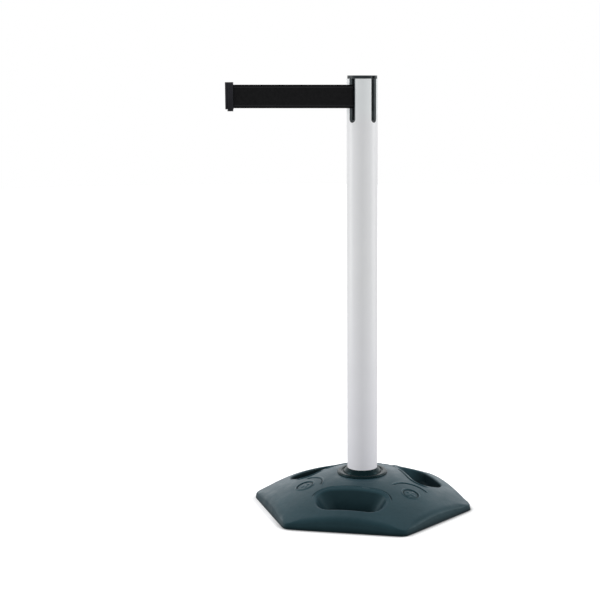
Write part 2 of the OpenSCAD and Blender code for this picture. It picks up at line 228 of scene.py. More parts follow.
# the base; its upper edge is rounded down the side and in over the dome, less so at the corners
HOLD_SIDE, PLAIN_SIDE = 209.0, 216.5
LAND_R, DOME_H, DOME_FALL, DOME_REACH, DOME_CURVE = 58.0, 70.0, 60.0, 188.0, 1.31
HEX_POWER, SIDE_LEAN = 60, 0.2
EDGE_DOWN, EDGE_IN, BORDER_IN, CORNER_EDGE = 7.0, 12.0, 17.0, 0.3
HOLD_AT, HOLD_HALF_U, HOLD_HALF_W, HOLD_CORNER = 137.5, 29.0, 56.0, 24.0
HOLD_FLOOR, HOLD_TOP, FLARE_U, FLARE_W = 14.0, 54.0, 0.25, 0.45
HOLD_ANGLES = (-150, -30, 90)
# distance out, offset across, ring radius, arc radius, and where the arc starts and stops
MARKS = {
    150: (132.5, -1.0, 18.5, 39.0, -66.0, 42.0),
    -90: (140.5, -4.0, 17.3, 44.5, -8.0, 104.0),
    30: (136.0, 0.0, 18.0, 42.0, -66.0, 66.0),
}
MARK_ANGLES = tuple(MARKS)
PLATE_R, PLATE_TOP, BOLT_HOLE_R = 70.5, 20.0, 8.5

# the belt's line out of the mouth
OUT = np.array([math.cos(BELT_DIR), math.sin(BELT_DIR), 0.0])
ACROSS = np.array([-math.sin(BELT_DIR), math.cos(BELT_DIR), 0.0])
PIVOT = np.array([-MOUTH, 0.0, 0.0])


def along(a, w, z):
    """A point a out of the mouth, w across the belt and z up."""
    p = PIVOT + OUT * a + ACROSS * w
    return (p[0], p[1], z)


# -------- mesh helpers


def piece(name, points, faces, slot, body, replaces=(), blend=None, uv=None, sharp=35):
    """A mesh object from points in millimetres, shaded smooth with sharp edges kept.

    It rides on the body, or bends between two bodies where blend names them and two points.
    """
    mesh = bpy.data.meshes.new(name)
    mesh.from_pydata([tuple(c * MM for c in p) for p in points], [], faces)
    mesh.validate()
    if uv is not None:
        layer = mesh.uv_layers.new(name="UVMap")
        for loop in mesh.loops:
            layer.data[loop.index].uv = uv[loop.vertex_index]
    obj = bpy.data.objects.new(name, mesh)
    bpy.context.scene.collection.objects.link(obj)
    mesh.shade_smooth()
    mark_sharp(mesh, sharp)
    mesh.materials.append(material(slot))
    if blend:
        start, end = (Vector(p) * MM for p in blend[2:])
        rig.blend(obj, *blend[:2], start, end)
    else:
        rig.ride(obj, body)
    if replaces:
        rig.replaces(obj, *replaces)
    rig.slot(obj, slot)
    return obj


def mark_sharp(mesh, angle):
    """Turns the faces outward and marks the edges that are sharper than the angle."""
    bm = bmesh.new()
    bm.from_mesh(mesh)
    bmesh.ops.recalc_face_normals(bm, faces=bm.faces)
    limit = math.radians(angle)
    for edge in bm.edges:
        edge.smooth = not (edge.is_manifold and edge.calc_face_angle(0) > limit)
    bm.to_mesh(mesh)
    bm.free()


def ring_faces(a, b, n):
    """Quads between two rings of n points that start at indices a and b."""
    return [(a + i, a + (i + 1) % n, b + (i + 1) % n, b + i) for i in range(n)]


def unit(rows):
    """Each row at a length of one."""
    return rows / np.maximum(np.linalg.norm(rows, axis=1, keepdims=True), 1e-9)


def lathe(profile, sides):
    """Points and faces of a profile of (radius, height) turned round Z, closed on itself."""
    points, faces = [], []
    for r, z in profile:
        points += [
            (r * math.cos(math.tau * i / sides), r * math.sin(math.tau * i / sides), z)
            for i in range(sides)
        ]
    count = len(profile)
    for k in range(count):
        faces += ring_faces(k * sides, (k + 1) % count * sides, sides)
    return points, faces


def bend(a, b, c, t):
    """The point at share t of a curve from a to c that is drawn towards b."""
    return (1 - t) ** 2 * a + 2 * t * (1 - t) * b + t * t * c


def rounded(outline, radius, steps=4, closed=True):
    """The outline with each corner cut back by up to radius along its sides and curved."""
    made = []
    count = len(outline)
    for i, p in enumerate(outline):
        p = np.array(p, float)
        if not closed and i in (0, count - 1):
            made.append(tuple(p))
            continue
        r = radius[i] if hasattr(radius, "__len__") else radius
        a, b = np.array(outline[i - 1], float) - p, np.array(outline[(i + 1) % count], float) - p
        la, lb = np.linalg.norm(a), np.linalg.norm(b)
        cut = min(r, la * 0.45, lb * 0.45)
        if cut <= 0:
            made.append(tuple(p))
            continue
        start, stop = p + a / la * cut, p + b / lb * cut
        made += [tuple(bend(start, p, stop, k / steps)) for k in range(steps + 1)]
    return made


def merge(*parts):
    """Several (points, faces) joined into one."""
    points, faces = [], []
    for some, quads in parts:
        base = len(points)
        points += list(some)
        faces += [tuple(base + i for i in f) for f in quads]
    return points, faces


def slab(outline, z0, z1, place=None, edge=0.5, steps=3):
    """A flat outline raised from z0 to z1, with its top and bottom edges rounded."""
    count = len(outline)
    pts = np.array(outline, float)
    run = unit(np.roll(pts, -1, 0) - pts) + unit(pts - np.roll(pts, 1, 0))
    area = 0.5 * np.sum(pts[:, 0] * np.roll(pts[:, 1], -1) - np.roll(pts[:, 0], -1) * pts[:, 1])
    side = 1 if area > 0 else -1
    normal = unit(np.stack([-run[:, 1], run[:, 0]], 1) * side)
    rows = []
    for k in range(steps + 1):
        t = math.pi / 2 * k / steps
        rows.append((edge * (1 - math.sin(t)), z0 + edge * (1 - math.cos(t))))
    rows += [(d, z1 + z0 - z) for d, z in reversed(rows)]
    points, faces = [], []
    for d, z in rows:
        for p in pts + normal * d:
            points.append(place(p[0], p[1], z) if place else (p[0], p[1], z))
    for k in range(len(rows) - 1):
        faces += ring_faces(k * count, (k + 1) * count, count)
    faces.append(tuple(range(count - 1, -1, -1)))
    faces.append(tuple((len(rows) - 1) * count + i for i in range(count)))
    return points, faces


def circle(x, y, r, sides=32):
    return [
        (x + r * math.cos(math.tau * i / sides), y + r * math.sin(math.tau * i / sides))
        for i in range(sides)
    ]


def block(outline, z0, z1, place):
    """A plain prism, used to cut with."""
    n = len(outline)
    shell = [place(x, y, z) for z in (z0, z1) for x, y in outline]
    return shell, ring_faces(0, n, n) + [tuple(range(n - 1, -1, -1)), tuple(range(n, 2 * n))]


def solid(points, faces):
    """A scratch object of one closed shape."""
    mesh = bpy.data.meshes.new("scratch")
    mesh.from_pydata([tuple(c * MM for c in p) for p in points], [], faces)
    mark_sharp(mesh, 30)
    obj = bpy.data.objects.new("scratch", mesh)
    bpy.context.scene.collection.objects.link(obj)
    return obj


def carved(body, *cutters):
    """Points and faces of a closed shape with other closed shapes taken away."""
    obj = solid(*body)
    for shape in cutters:
        cutter = solid(*shape)
        cut = obj.modifiers.new("cut", "BOOLEAN")
        cut.object, cut.operation, cut.solver = cutter, "DIFFERENCE", "EXACT"
        bpy.context.view_layer.update()
        graph = bpy.context.evaluated_depsgraph_get()
        fresh = bpy.data.meshes.new_from_object(obj.evaluated_get(graph))
        obj.modifiers.clear()
        obj.data = fresh
        bpy.data.objects.remove(cutter)
    points = [tuple(c / MM for c in v.co) for v in obj.data.vertices]
    faces = [tuple(f.vertices) for f in obj.data.polygons]
    bpy.data.objects.remove(obj)
    return points, faces


# -------- materials


class Nodes:
    """Short ways to lay out the nodes of a material or of the world."""

    def __init__(self, owner, shader="Principled BSDF", place="Object"):
        self.owner = owner
        owner.use_nodes = True
        self.tree = owner.node_tree
        self.shader = self.tree.nodes[shader]
        self.place = self.add("ShaderNodeTexCoord").outputs[place]

    def add(self, kind, **values):
        node = self.tree.nodes.new(kind)
        for key, value in values.items():
            setattr(node, key, value)
        return node

    def link(self, source, target):
        self.tree.links.new(source, target)

    def feed(self, socket, value):
        if isinstance(value, bpy.types.NodeSocket):
            self.link(value, socket)
        else:
            socket.default_value = value

    def set(self, **inputs):
        for key, value in inputs.items():
            self.feed(self.shader.inputs[key.replace("_", " ")], value)

    def noise(self, scale, detail=3.0, rough=0.55, vector=None, twist=0.0):
        node = self.add("ShaderNodeTexNoise")
        self.link(vector or self.place, node.inputs["Vector"])
        node.inputs["Scale"].default_value = scale
        node.inputs["Detail"].default_value = detail
        node.inputs["Roughness"].default_value = rough
        node.inputs["Distortion"].default_value = twist
        return node.outputs["Fac"]

    def cells(self, scale, vector=None):
        node = self.add("ShaderNodeTexVoronoi")
        self.link(vector or self.place, node.inputs["Vector"])
        node.inputs["Scale"].default_value = scale
        return node.outputs["Distance"]

    def stretch(self, scale, vector=None):
        node = self.add("ShaderNodeMapping")
        self.link(vector or self.place, node.inputs["Vector"])
        node.inputs["Scale"].default_value = scale
        return node.outputs["Vector"]

    def split(self, vector=None):
        node = self.add("ShaderNodeSeparateXYZ")
        self.link(vector or self.place, node.inputs[0])
        return node.outputs

    def dot(self, direction):
        """How far the place lies along a fixed direction."""
        node = self.add("ShaderNodeVectorMath", operation="DOT_PRODUCT")
        self.link(self.place, node.inputs[0])
        node.inputs[1].default_value = direction
        return node.outputs["Value"]

    def math(self, kind, a, b=0.0, c=0.0):
        node = self.add("ShaderNodeMath", operation=kind)
        for socket, value in zip(node.inputs, (a, b, c)):
            self.feed(socket, value)
        return node.outputs[0]

    def band(self, value, low_in, high_in, low_out, high_out, kind="LINEAR"):
        node = self.add("ShaderNodeMapRange", interpolation_type=kind)
        for socket, v in zip(node.inputs, (value, low_in, high_in, low_out, high_out)):
            self.feed(socket, v)
        return node.outputs["Result"]

    def mix(self, factor, a, b):
        node = self.add("ShaderNodeMix", data_type="RGBA")
        self.feed(node.inputs[0], factor)
        for socket, value in ((node.inputs[6], a), (node.inputs[7], b)):
            self.feed(socket, value if isinstance(value, bpy.types.NodeSocket) else (*value, 1.0))
        return node.outputs[2]

    def bump(self, height, depth, strength=1.0, under=None):
        node = self.add("ShaderNodeBump")
        node.inputs["Strength"].default_value = strength
        node.inputs["Distance"].default_value = depth
        self.link(height, node.inputs["Height"])
        if under is not None:
            self.link(under, node.inputs["Normal"])
        self.link(node.outputs["Normal"], self.shader.inputs["Normal"])
        return node.outputs["Normal"]

    def attribute(self, name):
        return self.add("ShaderNodeAttribute", attribute_name=name).outputs["Fac"]


def rubber(n, dark, light, dust):
    """Moulded rubber: soft blotches, a dusty bloom on rubbed parts, a fine pebble, and painted shade near the floor and
    where the base's per-point value is below 0.
    """
    blotch = n.band(n.noise(9, 4), 0.36, 0.66, 0.0, 1.0)
    cloud = n.band(n.noise(55, 4, 0.6), 0.3, 0.7, 0.0, 0.35)
    body = n.mix(n.math("ADD", n.math("MULTIPLY", blotch, 0.65), cloud), dark, light)
    use = n.attribute("rub_and_shade")
    rub_and_shade = n.math("MULTIPLY", use, n.band(n.noise(240, 3), 0.3, 0.7, 0.35, 0.95))
    speck = n.band(n.noise(700, 2), 0.66, 0.78, 0.0, 0.3)
    body = n.mix(n.math("MAXIMUM", rub_and_shade, speck), body, dust)
    # painted shade: darker and less reflective in the lowest 12 mm and where the per-point value is below 0
    painted_shade = n.math("MAXIMUM", n.band(n.split()["Z"], 0.001, 0.012, 0.75, 0.0),
                       n.band(use, -1.0, 0.0, 0.9, 0.0))
    body = n.mix(painted_shade, body, (0.0018, 0.0058, 0.0062))
    n.set(
        Base_Color=body,
        Roughness=n.band(n.noise(38, 4), 0.3, 0.7, 0.33, 0.47),
        Specular_IOR_Level=n.band(painted_shade, 0.0, 0.9, 0.25, 0.08),
        Specular_Tint=(0.6, 0.9, 1.0, 1.0),
        Sheen_Weight=0.06,
        Sheen_Roughness=0.45,
        Sheen_Tint=(0.5, 0.75, 1.0, 1.0),
    )
    pebble = n.bump(n.cells(950), 0.00012, 0.35)
    n.bump(n.noise(130, 3), 0.0007, 0.3, pebble)


def plastic(n, colour, rough, grain=0.3, scuff=0.12, gloss=0.5, tint=(1.0, 1.0, 1.0), foot=None):
    """Moulded plastic: spark-eroded grain, faint flow tone, pale rub marks and, where a foot height is given, painted
    shade at the foot.
    """
    tone = tuple(c * 1.5 + 0.001 for c in colour)
    body = n.mix(n.band(n.noise(70, 3), 0.35, 0.65, 0.0, 1.0), colour, tone)
    rubbed = n.band(n.noise(420, 4, 0.7, n.stretch((1.0, 1.0, 0.12))), 0.66, 0.8, 0.0, scuff)
    pale = tuple(min(1.0, c * 2.2 + 0.05) for c in colour)
    # painted shade: darker below the foot height, fading out over 9 mm above it
    if foot:
        body = n.mix(n.band(n.split()["Z"], foot, foot + 0.009, 0.9, 0.0), body, (0.002, 0.003, 0.003))
    n.set(
        Base_Color=n.mix(rubbed, body, pale),
        Specular_Tint=(*tint, 1.0),
        Roughness=n.band(n.noise(160, 3), 0.3, 0.7, rough - 0.05, rough + 0.07),
        Specular_IOR_Level=gloss,
    )
    fine = n.bump(n.cells(2600), 0.00005, grain)
    n.bump(n.noise(260, 2), 0.0002, 0.12, fine)


def metal(n, colour, rough, lines=(30.0, 30.0, 900.0), tint=0.2):
    """Turned or rolled metal: fine tool lines with a cloudy plated tone."""
    streak = n.noise(9, 3, 0.6, n.stretch(lines))
    shade = tuple(c * (1 - tint) for c in colour)
    n.set(
        Base_Color=n.mix(n.band(n.noise(90, 4), 0.35, 0.65, 0.0, 1.0), shade, colour),
        Metallic=1.0,
        Roughness=n.band(streak, 0.3, 0.7, rough - 0.06, rough + 0.1),
    )
    n.bump(streak, 0.00006, 0.35)


def paint(n):
    """Satin powder coat: slight orange peel, faint handling marks that are strongest near the floor."""
    tone = n.band(n.noise(14, 3), 0.35, 0.65, 0.0, 1.0)
    mark_tone = n.band(n.noise(60, 5, 0.72, n.stretch((1.0, 1.0, 0.22))), 0.68, 0.82, 0.0, 0.16)
    height = n.split()["Z"]
    foot = n.band(height, 0.08, 0.5, 1.0, 0.25)
    cool = n.mix(tone, (0.735, 0.755, 0.755), (0.75, 0.768, 0.768))
    warm = n.mix(tone, (0.725, 0.718, 0.752), (0.745, 0.738, 0.77))
    plain = n.mix(tone, (0.735, 0.735, 0.74), (0.755, 0.755, 0.76))
    body = n.mix(n.band(height, 0.1, 0.5, 1.0, 0.0), plain, warm)
    body = n.mix(n.band(height, 0.84, 0.87, 0.0, 1.0), body, cool)
    n.set(
        Base_Color=n.mix(n.math("MULTIPLY", mark_tone, foot), body, (0.5, 0.5, 0.52)),
        Roughness=n.band(n.noise(32, 3), 0.3, 0.7, 0.3, 0.38),
        Specular_IOR_Level=0.45,
    )
    peel = n.bump(n.noise(750, 1.5), 0.00012, 0.16)
    n.bump(n.noise(2600, 1), 0.00003, 0.12, peel)


def webbing(n):
    """Woven polyester, laid out on the strip's own coordinates: U across, V along, in metres."""
    place = n.add("ShaderNodeUVMap", uv_map="UVMap").outputs["UV"]
    across, length, _ = n.split(place)
    warp_pitch, pick_pitch = 0.0006, 0.0005
    warp = n.math("SINE", n.math("MULTIPLY", across, math.tau / warp_pitch))
    pick = n.math("SINE", n.math("MULTIPLY", length, math.tau / pick_pitch))
    offset = n.math("MULTIPLY", n.math("SIGN", warp), math.pi / 2)
    twill = n.math("SINE", n.math("ADD", n.math("MULTIPLY", length, math.tau / pick_pitch / 2), offset))
    cloth = n.math("MULTIPLY_ADD", twill, 0.55, n.math("MULTIPLY", n.math("ABSOLUTE", warp), 0.45))
    cloth = n.math("MULTIPLY_ADD", pick, 0.12, cloth)
    fuzz = n.noise(5200, 3, 0.7, place)
    edge = n.math("ABSOLUTE", n.math("SUBTRACT", across, BELT_W / 2 * MM))
    selvedge = n.band(edge, 0.0209, 0.0214, 0.0, 1.0)
    stripe = n.math(
        "MULTIPLY", n.band(edge, 0.0181, 0.0187, 0.0, 1.0), n.band(edge, 0.0199, 0.0205, 1.0, 0.0)
    )
    body = n.mix(n.band(n.noise(120, 3, 0.6, place), 0.35, 0.65, 0.0, 1.0),
                 (0.0095, 0.0095, 0.01), (0.014, 0.014, 0.0145))
    thread = n.mix(n.band(cloth, -0.6, 0.9, 0.0, 1.0), (0.0035, 0.0035, 0.004), body)
    thread = n.mix(stripe, thread, (0.022, 0.022, 0.024))
    thread = n.mix(selvedge, thread, (0.0018, 0.0018, 0.0022))
    n.set(
        Base_Color=n.mix(n.band(fuzz, 0.62, 0.8, 0.0, 0.25), thread, (0.04, 0.04, 0.044)),
        Roughness=n.band(fuzz, 0.3, 0.7, 0.78, 0.92),
        Specular_IOR_Level=0.12,
        Sheen_Weight=0.03,
        Sheen_Roughness=0.4,
    )
    weave = n.bump(cloth, 0.00012, 0.55)
    n.bump(fuzz, 0.00006, 0.3, weave)


# each material slot: its kind of finish and what that takes
FINISHES = {
    "base_rubber": (rubber, (0.0112, 0.033, 0.0415), (0.018, 0.047, 0.0585), (0.05, 0.09, 0.108)),
    "collar_plastic": (plastic, (0.0006, 0.004, 0.005), 0.28, 0.06, 0.0, 0.17, (0.4, 0.88, 1.0)),
    "post_paint": (paint,),
    "plate_steel": (metal, (0.56, 0.57, 0.58), 0.38),
    "screw_steel": (metal, (0.045, 0.046, 0.05), 0.36, (200.0, 200.0, 40.0)),
    "spring_steel": (metal, (0.3, 0.31, 0.35), 0.32, (20.0, 20.0, 500.0), 0.35),
    "shaft_steel": (metal, (0.68, 0.69, 0.7), 0.18, (20.0, 20.0, 1200.0), 0.08),
    "bush_brass": (metal, (0.66, 0.46, 0.17), 0.42, (60.0, 60.0, 300.0), 0.25),
    # the channel's last value is the height of the slot's foot, near which it is painted darker with shade
    "channel_plastic": (
        plastic, (0.042, 0.051, 0.054), 0.45, 0.3, 0.08, 0.4, (1.0, 1.0, 1.0), SLOT_FOOT * MM),
    "cap_plastic": (plastic, (0.012, 0.017, 0.019), 0.36, 0.35, 0.1, 0.25),
    "cassette_plastic": (plastic, (0.012, 0.012, 0.014), 0.45),
    "drum_plastic": (plastic, (0.22, 0.23, 0.25), 0.4),
    "plug_plastic": (plastic, (0.03, 0.03, 0.034), 0.5),
    "brake_lining": (rubber, (0.09, 0.04, 0.022), (0.15, 0.075, 0.045), (0.2, 0.16, 0.13)),
    "rotor_metal": (metal, (0.6, 0.61, 0.63), 0.45, (60.0, 60.0, 60.0), 0.15),
    "webbing": (webbing,),
    "clip_plastic": (plastic, (0.006, 0.006, 0.009), 0.42, 0.35, 0.06, 0.25),
}
made_materials = {}


def material(slot):
    """The slot's material, made the first time it is asked for."""
    if slot not in made_materials:
        n = Nodes(bpy.data.materials.new(slot))
        finish, *values = FINISHES[slot]
        finish(n, *values)
        made_materials[slot] = n.owner
    return made_materials[slot]


# -------- rubber base


def hex_radius(a):
    """Distance from the axis to the base's side at plan angle a, in radians."""
    total = 0
    for angles, side in ((HOLD_ANGLES, HOLD_SIDE), (MARK_ANGLES, PLAIN_SIDE)):
        for t in angles:
            total = total + (np.maximum(np.cos(a - math.radians(t)), 0) / side) ** HEX_POWER
    return total ** (-1 / HEX_POWER)


def dome_z(x, y):
    """Height of the dome over points of the plan."""
    fall = np.maximum(np.hypot(x, y) - LAND_R, 0) / DOME_REACH
    return DOME_H - DOME_FALL * fall**DOME_CURVE


def turn(points, degrees):
    """The points turned round Z."""
    c, s = math.cos(math.radians(degrees)), math.sin(math.radians(degrees))
    p = np.array(points, float)
    out = p.copy()
    out[:, 0], out[:, 1] = c * p[:, 0] - s * p[:, 1], s * p[:, 0] + c * p[:, 1]
    return out


def bead(distance, width):
    """A smooth bump that is 1 at no distance."""
    return np.exp(-((distance / width) ** 2))


def fade(distance, steepness):
    """1 on the near side of no distance, 0 beyond it."""
    return 1 / (1 + np.exp(np.clip(distance * steepness, -40, 40)))


def mark_height(u, w, mark):
    """Ring with a plus inside it and an arc round part of it: height, and a tone: rubbed paler on the lips and plus,
    painted darker with shade in the grooves.
    """
    at, off, ring_r, arc_r, arc_from, arc_to = mark
    du, dw = u - at, w - off
    r, a = np.hypot(du, dw), np.degrees(np.arctan2(dw, -du))
    step = lambda d: fade(d, 2.2)
    groove = bead(r - ring_r + 1.2, 1.5)
    lip = bead(r - ring_r - 1.6, 1.3)
    plus = np.maximum(
        step(np.abs(du) - 2.3) * step(np.abs(dw) - 9.5), step(np.abs(dw) - 2.3) * step(np.abs(du) - 9.5)
    )
    span = step((arc_from - a) * 0.3) * step((a - arc_to) * 0.3)
    arc, crest = span * bead(r - arc_r + 1.2, 1.5), span * bead(r - arc_r - 1.6, 1.3)
    height = 1.1 * (lip + crest) - 1.5 * (groove + arc) + 1.2 * plus - 0.6 * step(r - ring_r + 2)
    return height, 0.5 * (lip + crest) - 0.9 * (groove + arc) + 0.25 * plus


def hold_ring(count):
    """The hand hold's outline at its floor, with the outward direction at each point."""
    corner = HOLD_CORNER
    points, normals = [], []
    per = count // 4
    for k, (su, sw) in enumerate(((1, 1), (-1, 1), (-1, -1), (1, -1))):
        cu, cw = su * (HOLD_HALF_U - corner), sw * (HOLD_HALF_W - corner)
        for i in range(per):
            a = math.pi / 2 * (k + i / (per - 1))
            points.append((cu + corner * math.cos(a), cw + corner * math.sin(a)))
            normals.append((math.cos(a), math.sin(a)))
    dense, dense_n = [], []
    for i, p in enumerate(points):
        q = points[(i + 1) % len(points)]
        gap = math.dist(p, q)
        parts = max(1, round(gap / 3.0))
        for j in range(parts):
            t = j / parts
            dense.append((p[0] + (q[0] - p[0]) * t, p[1] + (q[1] - p[1]) * t))
            m = np.array(normals[i]) * (1 - t) + np.array(normals[(i + 1) % len(points)]) * t
            dense_n.append(tuple(m / np.linalg.norm(m)))
    return np.array(dense), np.array(dense_n)


def hand_hold(degrees):
    """Rows of points, each with a value that is rubbed paler above 0 and painted shade below 0, from the middle of the
    floor out past the ridge on the dome.
    """
    ring, normal = hold_ring(112)
    count = len(ring)
    grow, rise, fillet = np.array([FLARE_U, FLARE_W]), HOLD_TOP - HOLD_FLOOR, 5.0

    def wall(t):
        """Points of the flared wall at shares t of its height."""
        flat = ring * (1 + grow * np.reshape(t, (-1, 1)))
        return np.column_stack([flat + [HOLD_AT, 0], HOLD_FLOOR + rise * t])

    def on_dome(flat):
        return np.column_stack([flat, dome_z(*turn(flat, degrees).T)])

    low_t, high_t = np.zeros(count), np.full(count, 1.6)
    for _ in range(30):
        mid = (low_t + high_t) / 2
        under = wall(mid)[:, 2] < on_dome(wall(mid)[:, :2])[:, 2]
        low_t, high_t = np.where(under, mid, low_t), np.where(under, high_t, mid)
    foot, brim = wall(np.zeros(count)), wall((low_t + high_t) / 2)
    climb = unit(brim - foot)
    rows = []
    # the floor and the fillet up from it: painted shade
    for s in (0.25, 0.5, 0.72, 0.86):
        rows.append((np.column_stack([ring * s + [HOLD_AT, 0], foot[:, 2]]), -0.8))
    inward = np.column_stack([-normal * fillet, np.zeros(count)])
    for t in np.linspace(0, 1, 6):
        rows.append((bend(foot + inward, foot, foot + climb * fillet, t), -0.8))
    start, stop = foot + climb * fillet, brim - climb * fillet
    # the walls: painted shade, darkest on the outer wall
    shade = 0.4 * normal[:, 1] ** 2 - 0.2 * normal[:, 0] - 0.73
    for t in (0.0, 0.25, 0.5, 0.75):
        rows.append((start + (stop - start) * t, shade))
    over = on_dome(brim[:, :2] + normal * fillet)
    # over the brim the walls' painted shade fades out, and the rounded edge is rubbed paler
    for t in np.linspace(0, 1, 9):
        rub_shade = shade * (1 - t) ** 2 + 0.35 * math.sin(math.pi * t) * t
        rows.append((bend(stop, brim, over, t), rub_shade))
    # a lip and a groove outside the brim, on the side towards the post; the lip is rubbed paler, which also paints in
    # its highlight, and the groove is painted darker with shade
    inner, gap = fade(ring[:, 0] + 13, 0.6), 1 - bead(ring[:, 1] - 16, 8.5)
    for d in (5.6, 6.2, 6.7, 7.2, 7.7, 8.2, 8.7, 9.2, 9.7, 10.2, 10.7, 11.3, 12.2, 13.5):
        row = on_dome(brim[:, :2] + normal * d)
        lip, groove = (bead(d - at, 1.2) * inner * gap for at in (7.2, 9.8))
        row[:, 2] += 1.6 * lip - 1.7 * groove
        rows.append((row, lip - groove))
    return [(turn(row, degrees), rub_shade) for row, rub_shade in rows]


def inside(points, loop):
    """Whether each point is within the loop."""
    x, y = points[:, 0], points[:, 1]
    hit = np.zeros(len(points), bool)
    for p, q in zip(loop, np.roll(loop, -1, 0)):
        cross = (p[1] > y) != (q[1] > y)
        with np.errstate(divide="ignore", invalid="ignore"):
            at = (q[0] - p[0]) * (y - p[1]) / (q[1] - p[1]) + p[0]
        hit ^= cross & (x < at)
    return hit


def near_loop(points, loop, margin):
    """Whether each point is closer than the margin to the loop."""
    near = np.zeros(len(points), bool)
    for p, q in zip(loop, np.roll(loop, -1, 0)):
        d = q - p
        t = np.clip((points - p) @ d / max(d @ d, 1e-9), 0, 1)
        near |= np.hypot(*(points - p - t[:, None] * d).T) < margin
    return near


def mark_sites(degrees):
    """Plan points round a mark: rings close together where its height changes, a grid inside."""
    at, off, ring_r, arc_r = MARKS[degrees][:4]
    near_ring = (-4.6, -3.6, -2.8, -2.2, -1.7, -1.2, -0.7, -0.1, 0.5, 1.1, 1.6, 2.1, 2.7, 3.4, 4.4, 6.5)
    near_arc = (-7, -4.6, -3.5, -2.8, -2.2, -1.7, -1.2, -0.7, -0.1, 0.5, 1.1, 1.6, 2.1, 2.7, 3.5, 4.8)
    sites = []
    for r in [ring_r + d for d in near_ring] + [arc_r + d for d in near_arc]:
        sites += [(at + r * math.cos(t), off + r * math.sin(t)) for t in np.arange(112) / 112 * math.tau]
    pitch = 0.92
    for i in range(-14, 15):
        for j in range(-14, 15):
            u, w = i * pitch + (pitch / 2 if j % 2 else 0), j * pitch
            if math.hypot(u, w) < ring_r - 5.6:
                sites.append((at + u, off + w))
    return turn([p for p in sites if math.hypot(*p) > LAND_R + 5.5], degrees)


def dome_sites(bounds, holes):
    """Plan points that the dome's skin passes through, clear of its edges."""
    pitch = 4.6
    grid = np.array([
        (i * pitch + (pitch / 2 if j % 2 else 0), j * pitch * 0.866)
        for i in range(-48, 49) for j in range(-56, 57)
    ])
    keep = (np.hypot(*grid.T) > LAND_R + 5.5) & inside(grid, bounds) & ~near_loop(grid, bounds, 2.6)
    for degrees in MARK_ANGLES:
        at, off, _, arc_r = MARKS[degrees][:4]
        keep &= np.hypot(*(grid - turn([(at, off)], degrees)[0]).T) > arc_r + 6.5
    sites = np.concatenate([*map(mark_sites, MARK_ANGLES), grid[keep]])
    for loop in holes:
        sites = sites[~(inside(sites, loop) | near_loop(sites, loop, 2.0))]
    return sites[inside(sites, bounds) & ~near_loop(sites, bounds, 1.5)]


